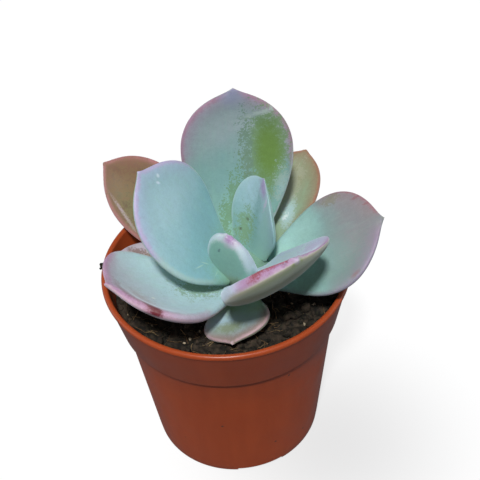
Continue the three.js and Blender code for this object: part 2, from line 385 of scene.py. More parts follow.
plastic, tree, shader = finish("injection_moulded_polypropylene", {
    "Roughness": 0.36, "IOR": 1.49, "Specular IOR Level": 0.3, "Subsurface Weight": 0.12,
    "Subsurface Radius": (1.0, 0.35, 0.2), "Subsurface Scale": 0.6 * MM})
place = add(tree, "TexCoord")["Object"]
flow_place = add(tree, "Mapping", {"Vector": place, "Scale": (1, 1, FLOW_STRETCH)})[0]
flow = add(tree, "TexNoise", {"Vector": flow_place, "Scale": 1 / FLOW_MARK, "Detail": 3})["Fac"]
cloud = add(tree, "TexNoise", {"Vector": place, "Scale": 1 / BLOOM, "Detail": 4})["Fac"]
pattern = add(tree, "Math", {0: flow, 1: cloud}, operation="MULTIPLY")[0]
depth = add(tree, "MapRange", {"Value": pattern, "From Min": 0.12, "From Max": 0.4})[0]
cells = add(tree, "TexVoronoi", {"Vector": place, "Scale": 1 / SPECK_SPACING})["Distance"]
speck = add(tree, "MapRange", {"Value": cells, "From Min": 0.08, "From Max": 0.045})[0]
patches = add(tree, "TexNoise", {"Vector": place, "Scale": 1 / SPECK_PATCH, "Detail": 1})["Fac"]
rare = add(tree, "MapRange", {"Value": patches, "From Min": 0.46, "From Max": 0.52})[0]
speck = add(tree, "Math", {0: speck, 1: rare}, operation="MULTIPLY")[0]
tone = layered(tree, PLASTIC_DEEP, [(depth, PLASTIC_COLOUR), (speck, DUST_COLOUR)])
tree.links.new(tone, shader.inputs["Base Color"])
gloss = add(tree, "MapRange", {"Value": cloud, "From Min": 0.3, "From Max": 0.7,
                               "To Min": 0.3, "To Max": 0.44})[0]
tree.links.new(gloss, shader.inputs["Roughness"])
grain = add(tree, "TexNoise", {"Vector": place, "Scale": 1 / MOULD_GRAIN, "Detail": 2})["Fac"]
uneven = add(tree, "Math", {0: flow, 1: grain}, operation="ADD")[0]
relief = add(tree, "Bump", {"Height": uneven, "Strength": 0.25, "Distance": MOULD_RELIEF})[0]
tree.links.new(relief, shader.inputs["Normal"])

nursery_pot = piece("nursery_pot", pot, plastic, "pot_plastic", "pot")
nursery_pot.data.set_sharp_from_angle(angle=CREASE)

# %% [markdown]
# ## The peat
#
# Potting peat is a plug that fills the pot, with a crumbled top. The plug is turned like the
# pot and its top is then pushed up and down by noise. Most of what the eye sees is loose
# stuff lying on it, so crumbs, fibres and grit are scattered as real pieces. There are
# hundreds of them, so each has only a few faces.

# %% Turn the plug of peat and roughen its top
STEM_X = 3.5
STEM_Y = -2.5
SOIL_LEVEL = 44.2
SOIL_RELIEF = 0.55
MOUND_HEIGHT = 0.8
MOUND_REACH = 8
GAP = 0.35
SOIL_STEPS = 260
SOIL_RINGS = 90
TOP_RING = 1
COARSE_SHARE = 0.55
FINE_SHARE = 0.45
CRUMBLE_HEIGHT = 0.32
CRUMBLE_WAVES = 0.9
SUNK = 0.1
WALL_CLEARANCE = 0.1

soil_edge = inner_radius(SOIL_LEVEL - TOP_RING) - WALL_CLEARANCE


def soil_top(x, y):
    """Height of the peat at a place, in millimetres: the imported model's waves and crumble."""
    mound = MOUND_HEIGHT * math.exp(-(math.hypot(x - STEM_X, y - STEM_Y) / MOUND_REACH) ** 2)
    coarse = math.sin(0.62 * x + 1.1) * math.cos(0.55 * y - 0.4)
    fine = math.sin(1.37 * x - 0.81 * y) * math.cos(0.93 * x + 1.61 * y + 0.6)
    crumble = noise.fractal(Vector((x, y, 0)) * CRUMBLE_WAVES, 0.9, 2.1, 4)
    return (SOIL_LEVEL + mound + SOIL_RELIEF * (COARSE_SHARE * coarse + FINE_SHARE * fine)
            + CRUMBLE_HEIGHT * crumble - SUNK)


under = FLOOR_TOP + GAP
plug_outline = [
    (0, under), (inner_radius(under) - GAP, under),
    (inner_radius(STEP_HEIGHT - STEP_SLOPE) - GAP, STEP_HEIGHT - STEP_SLOPE + WALL / 4 + GAP),
    (inner_radius(STEP_HEIGHT) - GAP, STEP_HEIGHT + WALL / 2 + GAP),
    (soil_edge, SOIL_LEVEL - TOP_RING),
]
plug_outline += [(soil_edge * math.sqrt(1 - i / SOIL_RINGS), SOIL_LEVEL)
                 for i in range(SOIL_RINGS + 1)]
peat_plug = spun([(radius * MM, height * MM) for radius, height in plug_outline], SOIL_STEPS)
for vert in peat_plug.verts:
    if vert.co.z > (SOIL_LEVEL - TOP_RING / 2) * MM:
        vert.co.z = soil_top(vert.co.x / MM, vert.co.y / MM) * MM
print("peat fills the pot to", round(top - SOIL_LEVEL, 1), "mm under the rim")

# %% [markdown]
# ## Moist peat
#
# Peat is half-rotted moss: nearly black where it is damp, brown where it has dried, with
# straw-coloured bits in it. It has almost no shine. The colour is mixed from two noises,
# one as large as a crumb and one as fine as a fibre.

# %% Mix the peat, its fibres and its grit
PEAT_WET = "#13110d"
PEAT_DRY = "#4a3d32"
PEAT_MOSSY = "#262817"
STRAW_COLOURS = ("#4a3a26", "#a08a63", "#6d4a33")
GRIT_COLOURS = ("#7c6f5c", "#cdbfa3", "#a59070")
EARTHY_RELIEF = 0.15 * MM


def earthy(name, dark, light, third, size):
    """A dull, broken-up finish of three colours, whose patches are size millimetres wide."""
    material, tree, shader = finish(name, {"Roughness": 0.88, "Specular IOR Level": 0.3})
    place = add(tree, "TexCoord")["Object"]
    coarse = add(tree, "TexNoise", {"Vector": place, "Scale": 1 / (size * MM), "Detail": 5,
                                    "Roughness": 0.7})["Fac"]
    fine = add(tree, "TexNoise", {"Vector": place, "Scale": 4 / (size * MM), "Detail": 3})["Fac"]
    dryness = add(tree, "MapRange", {"Value": coarse, "From Min": 0.42, "From Max": 0.68})[0]
    moss = add(tree, "MapRange", {"Value": fine, "From Min": 0.5, "From Max": 0.75})[0]
    tone = layered(tree, dark, [(dryness, light), (moss, third)])
    tree.links.new(tone, shader.inputs["Base Color"])
    relief = add(tree, "Bump", {"Height": fine, "Strength": 0.7, "Distance": EARTHY_RELIEF})[0]
    tree.links.new(relief, shader.inputs["Normal"])
    return material


moist_peat = earthy("moist_milled_peat", PEAT_WET, PEAT_DRY, PEAT_MOSSY, 1.6)
straw = earthy("dry_moss_fibre", *STRAW_COLOURS, 2.2)
sand = earthy("quartz_grit", *GRIT_COLOURS, 1.1)
piece("peat_plug", peat_plug, moist_peat, "peat", "soil")

# %% [markdown]
# ## Loose crumbs, grit and fibres
#
# A crumb is a small ball that is squeezed, turned and made lumpy with noise. A fibre is a
# square end that is extruded in a few steps along the peat. A few crumbs were spilt on the
# rim and in the axil of two leaves when the pot was filled. The draws are seeded, so that
# each run scatters them alike.

# %% Scatter crumbs and grit
CRUMBS = 620
CLODS = 110
GRIT = 60
SPILT = 14
CLOD_SIZES = (0.7, 1.5)
CRUMB_SIZES = (0.25, 0.75)
GRIT_SIZES = (0.2, 0.5)
SPILT_SIZES = (0.35, 0.65)
RIM_SPILL_ANGLE = 175
RIM_SPILL_WIDTHS = (-0.5, 0.25)
RIM_SPILL_DEPTHS = (0, 0.9)
AXIL_SPILL = (0.4, -7.0, 50.6)
AXIL_SPREAD = 0.35
LUMPINESS = 0.45
LUMP_WAVES = 1.3
draw = random.Random(7)


def spot_on_peat(margin):
    """A random place on the peat, in millimetres, spread evenly over its area."""
    radius = (soil_edge - margin) * math.sqrt(draw.random())
    angle = draw.uniform(0, math.tau)
    return radius * math.cos(angle), radius * math.sin(angle)


def lump(maker, centre, size, fineness, flatness):
    """A rough, slightly flattened ball of the given radius in millimetres."""
    twist = Quaternion((draw.gauss(0, 1), draw.gauss(0, 1), draw.gauss(0, 1)), draw.uniform(0, 6))
    squeeze = Matrix.Diagonal((1, draw.uniform(0.6, 1), draw.uniform(flatness, 1), 1))
    place = Matrix.Translation(Vector(centre) * MM) @ twist.to_matrix().to_4x4() @ squeeze
    made = bmesh.ops.create_icosphere(maker, subdivisions=fineness, radius=size * MM,
                                      matrix=place)
    for vert in made["verts"]:
        away = vert.co - Vector(centre) * MM
        vert.co += away * LUMPINESS * noise.noise(vert.co / (size * MM) * LUMP_WAVES)


crumbs = bmesh.new()
for i in range(CRUMBS + CLODS):
    x, y = spot_on_peat(margin=0.6)
    sizes, fineness = (CLOD_SIZES, 2) if i < CLODS else (CRUMB_SIZES, 1)
    size = draw.uniform(*sizes)
    lump(crumbs, (x, y, soil_top(x, y) + 0.25 * size), size, fineness, flatness=0.5)
for i in range(SPILT):
    angle = math.radians(RIM_SPILL_ANGLE + draw.gauss(0, 1))
    size = draw.uniform(*SPILT_SIZES)
    radius = rim + draw.uniform(*RIM_SPILL_WIDTHS)
    height = top - draw.uniform(*RIM_SPILL_DEPTHS)
    place = (radius * math.cos(angle), radius * math.sin(angle), height)
    lump(crumbs, place, size, fineness=1, flatness=0.6)
    place = [middle + draw.gauss(0, AXIL_SPREAD) for middle in AXIL_SPILL]
    lump(crumbs, place, 0.6 * size, fineness=1, flatness=0.6)
piece("peat_crumbs", crumbs, moist_peat, "peat")

grit = bmesh.new()
for i in range(GRIT):
    x, y = spot_on_peat(margin=1.5)
    size = draw.uniform(*GRIT_SIZES)
    lump(grit, (x, y, soil_top(x, y) + 0.7 * size), size, fineness=1, flatness=0.7)
piece("peat_grit", grit, sand, "peat")

# %% Lay the fibres
FIBRES = 260
FIBRE_LENGTHS = (1.5, 6)
FIBRE_WIDTHS = (0.1, 0.26)
FIBRE_STEPS = 6
FIBRE_BEND = 0.35
FIBRE_WANDER = 0.15
FIBRE_LIFTS = (0.15, 0.6)
FIBRE_START_LIFTS = (0.2, 0.6)
EDGE_ROOM = 0.5


def fibre(maker, x, y, length, thickness):
    """A thin bent strand that lies on the peat, swept in a few steps."""
    heading = draw.uniform(0, math.tau)
    bend = draw.uniform(-FIBRE_BEND, FIBRE_BEND)
    ring = bmesh.ops.create_circle(maker, segments=4, radius=thickness * MM / 2, cap_ends=True)
    lie = Matrix.Rotation(heading, 4, "Z") @ Matrix.Rotation(math.pi / 2, 4, "Y")
    lift = soil_top(x, y) + draw.uniform(*FIBRE_START_LIFTS)
    bmesh.ops.transform(maker, matrix=Matrix.Translation(Vector((x, y, lift)) * MM) @ lie,
                        verts=ring["verts"])
    face = ring["verts"][0].link_faces[0]
    step = length / FIBRE_STEPS
    for _ in range(FIBRE_STEPS):
        heading += bend + draw.uniform(-FIBRE_WANDER, FIBRE_WANDER)
        dx, dy = math.cos(heading) * step, math.sin(heading) * step
        x, y = x + dx, y + dy
        if math.hypot(x, y) > soil_edge - EDGE_ROOM:
            break
        height = soil_top(x, y) + draw.uniform(*FIBRE_LIFTS)
        face = bmesh.ops.extrude_discrete_faces(maker, faces=[face])["faces"][0]
        bmesh.ops.translate(maker, vec=Vector((dx, dy, height - lift)) * MM, verts=face.verts)
        lift = height


fibres = bmesh.new()
for i in range(FIBRES):
    x, y = spot_on_peat(margin=2)
    fibre(fibres, x, y, draw.uniform(*FIBRE_LENGTHS), draw.uniform(*FIBRE_WIDTHS))
bmesh.ops.recalc_face_normals(fibres, faces=fibres.faces)
piece("peat_fibres", fibres, straw, "peat")

# %% [markdown]
# ## The leaves
#
# An echeveria leaf is a thick spoon: narrow at the base, widest past the middle, slightly
# dished on its upper face and rounded below, with a blunt end that runs into a small sharp
# point. It could be sculpted, but thirteen leaves that differ only in size, lean and twist
# are better grown from one recipe. The blank is a sphere. One pole becomes the base, the
# other the point, and each ring of the sphere becomes one section across the leaf.
#
# Every leaf also stores where each bit of its skin is, as attributes: millimetres across and
# along the leaf, which face it is on, and the distance to the margin. The skin's colours
# follow these, so that a pink margin stays on the margin.

# %% Write down the leaves
BLANK_SEGMENTS = 72
BLANK_RINGS = 72
PLAIN_LEAF = {
    "sweep": -2, "curl": 10, "roll": 0, "twist": 0, "thickness": 3.2, "upper": 0.3,
    "reach": 3.5, "widest": 0.62, "bluntness": 0.57, "neck": 0.31, "dish": 1,
    "point": 1.2, "point_width": 1.5, "wave": 0.12, "rim": 0.35, "far_rim": 0.35,
}
LEAVES = {
    "leaf_heart_inner": dict(azimuth=324, rise=84, curl=4, foot=50.6, reach=0.9, length=4,
                             half_width=1.6, thickness=1.7, dish=0.2, point=0.4),
    "leaf_heart_outer": dict(azimuth=101, rise=80, curl=8, foot=50, reach=1.4, length=4.4,
                             half_width=2.2, thickness=2, dish=0.3, point=0.5),
    "leaf_bud_front": dict(azimuth=252, sweep=-10, rise=68, roll=-7, twist=-5,
                           foot=50.2, reach=2.6, length=16, half_width=5.3, thickness=4.4,
                           dish=-0.3, widest=0.5, bluntness=0.36, neck=1.2, point=0.5,
                           rim=0.6, far_rim=0.6, wave=0.03),
    "leaf_bud_back": dict(azimuth=44.8, sweep=-24, rise=73, curl=6, roll=6, twist=-14, foot=50.5,
                          reach=2.7, length=20, half_width=8, dish=1.3, bluntness=0.48,
                          thickness=2.1, neck=0.45, rim=0.05, far_rim=0.05),
    "leaf_left_upper": dict(azimuth=190, sweep=-12.6, rise=53.5, curl=9.4, roll=-8.6, twist=-23.5,
                            foot=50, reach=0.9, length=33.8, half_width=12.5, dish=0.4,
                            widest=0.52, bluntness=0.62, neck=0.4),
    "leaf_front_right": dict(azimuth=292, rise=32.7, curl=25.3, roll=18.4, twist=-8.4,
                             foot=52.6, reach=5.4, length=31.8, half_width=11.6, dish=2,
                             widest=0.604, bluntness=0.52, neck=0.62, rim=1.8, far_rim=0.1),
    "leaf_back_tall": dict(azimuth=86, sweep=3, rise=54, curl=36, roll=-1, twist=1, foot=48.5,
                           length=39.5, half_width=12, dish=0.8, widest=0.65, bluntness=0.59),
    "leaf_left_lower": dict(azimuth=215, sweep=-1, rise=12.2, curl=36, roll=-2, foot=48.6,
                            length=32.5, half_width=12.2, dish=2.4, widest=0.66,
                            bluntness=0.57, neck=0.4, point=2, rim=0.3, far_rim=0.8),
    "leaf_right": dict(azimuth=354, sweep=-7, rise=28, curl=12, roll=17, twist=3, foot=48,
                       length=31, half_width=11.8, dish=0.6, bluntness=0.66, neck=0.32),
    "leaf_back_left": dict(azimuth=138, rise=25, curl=-12, roll=-36, twist=-6, foot=47.5,
                           length=39, half_width=8.6, dish=1, widest=0.59, bluntness=0.63,
                           neck=0.3),
    "leaf_front_low": dict(azimuth=263, sweep=-4, rise=1, curl=3, roll=16, twist=5, foot=46.5,
                           length=15, half_width=7.4, dish=0.4, widest=0.64, neck=0.3),
    "leaf_back_right": dict(azimuth=60, rise=21, curl=2, roll=6, twist=1, foot=47.5, length=31,
                            half_width=7.6, dish=1.3, widest=0.61, bluntness=0.52, neck=0.3),
    "leaf_left_under": dict(azimuth=176, sweep=2, rise=9, curl=12, foot=45.5, length=26,
                            half_width=9.4, dish=0.8, widest=0.61, bluntness=0.58, neck=0.3),
}
print(len(LEAVES), "leaves, the longest", max(leaf["length"] for leaf in LEAVES.values()), "mm")

# %% Grow a leaf from a sphere
RIM_CREST = 1.1
RIM_FALL = 4.5
RIM_ONSET = 0.2
SWELLING = 1.5
SHOULDER = 2.2
FATTEST = 0.35
THINNED = 0.55
FULLNESS = 0.8
OUTLINE_STEPS = 240
BASE_RINGS = 5
FACE_TURN = 6
TIP_ONSET = 12
TIP_LIFT = 0.2
WAVE_LENGTH = 9
WAVE_ONSET = 0.25


def half_width_at(leaf, t):
    """Half the leaf's width at a share of its length, in millimetres."""
    if t < leaf["widest"]:
        opening = math.sin(t / leaf["widest"] * math.pi / 2) ** SWELLING
        return leaf["half_width"] * (leaf["neck"] + (1 - leaf["neck"]) * opening)
    past = (t - leaf["widest"]) / (1 - leaf["widest"])
    return leaf["half_width"] * max(1 - past ** SHOULDER, 0) ** leaf["bluntness"]


def thickness_at(leaf, t):
    """The leaf's thickness at a share of its length, in millimetres."""
    middle = math.cos((t - FATTEST) / (1 - FATTEST) * math.pi / 2)
    return leaf["thickness"] * (THINNED + (1 - THINNED) * middle) * math.sqrt(1 - t ** 6)


def rim_at(leaf, t, side, reach):
    """How far the upper face swells beside the margin, in millimetres."""
    climb = math.sqrt(1 - (1 - min(reach / RIM_CREST, 1)) ** 2)
    past = min(max(reach - RIM_CREST, 0) / RIM_FALL, 1)
    far = min(max(0.5 + side / leaf["half_width"], 0), 1)
    height = leaf["rim"] + (leaf["far_rim"] - leaf["rim"]) * far
    return height * climb * (1 - past * past * (3 - 2 * past)) * min(t / RIM_ONSET, 1)


def axes_at(leaf, t):
    """Directions along the midrib, across the leaf and out of its upper face."""
    rise = math.radians(leaf["rise"] + leaf["curl"] * t)
    azimuth = math.radians(leaf["azimuth"] + leaf["sweep"] * t)
    along = Vector((math.cos(rise) * math.cos(azimuth), math.cos(rise) * math.sin(azimuth),
                    math.sin(rise)))
    across = Vector((-math.sin(azimuth), math.cos(azimuth), 0))
    across.rotate(Quaternion(along, math.radians(leaf["roll"] + leaf["twist"] * t)))
    return along, across, along.cross(across)


def sections(leaf):
    """Share of the length, midrib point and axes for every ring of the blank."""
    azimuth = math.radians(leaf["azimuth"])
    point = Vector((STEM_X + leaf["reach"] * math.cos(azimuth),
                    STEM_Y + leaf["reach"] * math.sin(azimuth), leaf["foot"]))
    rows, before = [], 0
    for ring in range(BLANK_RINGS + 1):
        t = math.sin(ring / BLANK_RINGS * math.pi / 2)
        middle = axes_at(leaf, (before + t) / 2)[0]
        point = point + middle * (t - before) * leaf["length"]
        rows.append((t, point, *axes_at(leaf, t)))
        before = t
    return rows


def grow(given):
    """The leaf's mesh, with its places across and along the leaf kept in layers."""
    leaf = {**PLAIN_LEAF, **given}
    rows = sections(leaf)
    maker = bmesh.new()
    bmesh.ops.create_uvsphere(maker, u_segments=BLANK_SEGMENTS, v_segments=BLANK_RINGS,
                              radius=1)
    place = maker.verts.layers.float_vector.new("leaf_mm")
    margin = maker.verts.layers.float.new("margin_mm")
    outline = np.array([(half_width_at(leaf, i / OUTLINE_STEPS), leaf["length"] * i / OUTLINE_STEPS)
                        for i in range(OUTLINE_STEPS + 1)])
    for vert in maker.verts:
        ring = round(math.acos(max(-1, min(1, -vert.co.z))) / math.pi * BLANK_RINGS)
        t, point, along, across, up = rows[ring]
        angle = math.atan2(vert.co.y, vert.co.x)
        rounding = math.sqrt(math.sin(ring / BLANK_RINGS * math.pi)) if ring < BASE_RINGS else 1
        share_across = math.copysign(abs(math.cos(angle)) ** FULLNESS, math.cos(angle))
        share_up = math.copysign(abs(math.sin(angle)) ** FULLNESS, math.sin(angle))
        if ring in (0, BLANK_RINGS):
            share_across = share_up = 0
        width = half_width_at(leaf, t)
        face = leaf["upper"] if share_up > 0 else 1 - leaf["upper"]
        side = width * share_across
        rise = share_up * face * thickness_at(leaf, t) * rounding
        rise += leaf["dish"] * (side / leaf["half_width"]) ** 2
        along_mm = t * leaf["length"]
        reach = float(np.hypot(outline[:, 0] - abs(side), outline[:, 1] - along_mm).min())
        if share_up > 0:
            rise += rim_at(leaf, t, side, reach)
        tip = leaf["point"] * math.exp(-abs(side) / leaf["point_width"]) * t ** TIP_ONSET
        rise += TIP_LIFT * t ** TIP_ONSET
        spot = point + across * side * rounding + up * rise + along * tip
        waver = noise.noise(spot / WAVE_LENGTH + Vector((leaf["azimuth"], 0, 0)))
        spot += up * leaf["wave"] * waver * min(1, t / WAVE_ONSET)
        vert[place] = (side, along_mm, max(-1, min(1, FACE_TURN * math.sin(angle))))
        vert[margin] = reach
        vert.co = spot * MM
    bmesh.ops.recalc_face_normals(maker, faces=maker.faces)
    return maker


# %% [markdown]
# ## Waxy epidermis
#
# The skin of the leaf is green, but a powder of wax covers it, which scatters blue light and
# makes it a pale blue-green with hardly any shine. Strong light turns the margin and the
# point pink. Where the wax is rubbed off, by a finger or another leaf, the skin shows
# bright green and glossy, with grains of wax left round the edge of the patch. So one recipe
# lays the colours in that order: flesh, wax, bands of blush beside the margin, and then the
# marks that each leaf has of its own, each a soft ellipse in the leaf's own millimetres.

# %% Mask the marks and the bands
BOTH_FACES = 1000
ONE_FACE = 0.9
BAND_SOLID = 0.1
BAND_RAGGED = 0.8
BAND_FADE = 2
SIDE_FADE = 3
FACE_FADE = (-0.6, 0.3)


def mark_mask(tree, place, ragged, mark):
    """How strongly an elliptical mark covers each point, from 0 to 1."""
    centre = (mark.across, mark.along, mark.face)
    half_size = (mark.half_across, mark.half_along, ONE_FACE if mark.face else BOTH_FACES)
    offset = add(tree, "VectorMath", {0: place, 1: centre}, operation="SUBTRACT")[0]
    turned = add(tree, "VectorRotate", {"Vector": offset, "Angle": math.radians(mark.turn)},
                 rotation_type="Z_AXIS")[0]
    scaled = add(tree, "VectorMath", {0: turned, 1: half_size}, operation="DIVIDE")[0]
    reach = add(tree, "VectorMath", {0: scaled}, operation="LENGTH")["Value"]
    edge = add(tree, "Math", {0: ragged, 1: mark.ragged, 2: reach},
               operation="MULTIPLY_ADD")[0]
    return add(tree, "MapRange", {"Value": edge, "From Min": 1 + mark.soft,
                                  "From Max": 1 - mark.soft, "To Max": mark.strength},
               interpolation_type="SMOOTHSTEP")[0]


def band_mask(tree, parts, margin, ragged, band):
    """How strongly a band beside the margin covers each point, from 0 to 1."""
    start, end = band.along
    reach = add(tree, "Math", {0: ragged, 1: BAND_RAGGED, 2: margin},
                operation="MULTIPLY_ADD")[0]
    mask = add(tree, "MapRange", {"Value": reach, "From Min": band.wide,
                                  "From Max": band.wide * BAND_SOLID,
                                  "To Max": band.strength},
               interpolation_type="SMOOTHSTEP")[0]
    limits = [("Y", start - BAND_FADE, start + BAND_FADE), ("Y", end + BAND_FADE, end - BAND_FADE)]
    if band.side:
        limits.append(("X", 0, band.side * SIDE_FADE))
    if band.face:
        limits.append(("Z", band.face * FACE_FADE[0], band.face * FACE_FADE[1]))
    for axis, least, most in limits:
        inside = add(tree, "MapRange", {"Value": parts[axis], "From Min": least,
                                        "From Max": most}, interpolation_type="SMOOTHSTEP")[0]
        mask = add(tree, "Math", {0: mask, 1: inside}, operation="MULTIPLY")[0]
    return mask


# %% Mix the skin of a leaf
RAGGED_COARSE = 1.1 * MM
RAGGED_FINE = 0.32 * MM
CLOUD = 6 * MM
CLOUD_SHIFT = 10.0
WAX_FADE = 9
RIPE_FADE = (3, 12)
STREAK = 0.8
STREAK_STRETCH = 0.12
POWDER = 0.07
SKIN_RELIEF = 0.06 * MM
SHEEN_TINT = "#dcebf5"


def leaf_skin(name, look):
    """The finish of one leaf, from its colours, the bands at its margin and its marks."""
    material, tree, shader = finish(name, {
        "IOR": 1.45, "Subsurface Weight": 0.2, "Subsurface Radius": (0.9, 1.0, 0.55),
        "Subsurface Scale": 1.0 * MM, "Sheen Weight": look.sheen, "Sheen Roughness": 0.4,
        "Sheen Tint": linear(SHEEN_TINT)})
    space = add(tree, "TexCoord")["Object"]
    place = add(tree, "Attribute", attribute_name="leaf_mm")["Vector"]
    margin = add(tree, "Attribute", attribute_name="margin_mm")["Fac"]
    parts = add(tree, "SeparateXYZ", {0: place})
    cloud, mottle, grain = [
        add(tree, "TexNoise", {"Vector": space, "Scale": 1 / size, "Detail": detail})["Fac"]
        for size, detail in ((CLOUD, 3), (RAGGED_COARSE, 3), (RAGGED_FINE, 1))]
    ragged = add(tree, "Math", {0: mottle, 1: grain}, operation="ADD")[0]
    ragged = add(tree, "Math", {0: ragged, 1: 1.0}, operation="SUBTRACT")[0]

    # The wax is thin at the base, where the green flesh shows, and its tone shifts to the tip.
    drift = add(tree, "Math", {0: cloud, 1: CLOUD_SHIFT, 2: parts["Y"]},
                operation="MULTIPLY_ADD")[0]
    waxed = add(tree, "MapRange", {"Value": drift, "From Min": look.base,
                                   "From Max": look.base + WAX_FADE})[0]
    ripe = add(tree, "MapRange", {"Value": drift, "From Min": look.tip_from + RIPE_FADE[0],
                                  "From Max": look.tip_from + RIPE_FADE[1]})[0]

    # Fine streaks run along the leaf, where the wax was brushed thin as it unfolded.
    combed = add(tree, "VectorMath", {0: place, 1: (1 / STREAK, STREAK_STRETCH / STREAK, 1)},
                 operation="MULTIPLY")[0]
    streak = add(tree, "TexNoise", {"Vector": combed, "Scale": 1.0, "Detail": 4})["Fac"]
    thin = add(tree, "MapRange", {"Value": streak, "From Min": 0.5, "From Max": 0.8,
                                  "To Max": look.thin})[0]
    below = add(tree, "MapRange", {"Value": parts["Z"], "From Min": 0.6, "From Max": -0.6})[0]

    # Each layer of colour lies over those before it, marks last.
    layers = [(waxed, look.wax), (ripe, look.tip), (thin, look.flesh), (below, look.under)]
    layers += [(band_mask(tree, parts, margin, ragged, band), band.colour)
               for band in look.bands]
    shine = look.shine
    for mark in look.marks:
        mask = mark_mask(tree, place, ragged, mark)
        layers.append((mask, mark.colour))
        if mark.shine is not None:
            shine = add(tree, "Mix", {0: mask, 2: shine, 3: mark.shine}, data_type="FLOAT")[0]
    tone = layered(tree, look.flesh, layers)

    powder = add(tree, "MapRange", {"Value": ragged, "From Min": -0.35, "From Max": 0.35,
                                    "To Min": 1 - POWDER, "To Max": 1 + POWDER})[0]
    dusted = add(tree, "VectorMath", {0: tone, "Scale": powder}, operation="SCALE")[0]
    tree.links.new(dusted, shader.inputs["Base Color"])
    if isinstance(shine, bpy.types.NodeSocket):
        tree.links.new(shine, shader.inputs["Roughness"])
    else:
        shader.inputs["Roughness"].default_value = shine
    uneven = add(tree, "Math", {0: ragged, 1: streak}, operation="ADD")[0]
    relief = add(tree, "Bump", {"Height": uneven, "Strength": 0.35, "Distance": SKIN_RELIEF})[0]
    tree.links.new(relief, shader.inputs["Normal"])
    return material


# %% [markdown]
# ## The look of each leaf
#
# No two leaves are alike. The young ones are blue with lilac margins, the old ones behind have
# turned olive and red-brown, and each has its own scars: rubbed patches, scorched red streaks
# on the rims that stood in the sun, pale scratches. A few marks are painted highlights, two on
# the back bud are painted light and shade, and one pale tip is partly painted light. So each
# leaf gets its own look. It holds the colours from base to tip, the bands beside its margin, and
# its marks. A band gives its width in millimetres, and can keep to one face, one side or one
# stretch of the margin. A mark is an ellipse: its centre across and along the leaf and its half
# sizes, in millimetres, and its turn in degrees.

# %% Say what a look is made of
Band = namedtuple("Band", "colour wide strength along side face",
                  defaults=((-10, 99), 0, 1))
Mark = namedtuple("Mark", "colour across along half_across half_along turn face ragged soft "
                  "strength shine", defaults=(0, 1, 1, 0.4, 1, None))
Look = namedtuple("Look", "flesh wax tip under base tip_from bands marks thin sheen shine",
                  defaults=((), (), 0.35, 0.25, 0.5))
print("a look has", ", ".join(Look._fields))

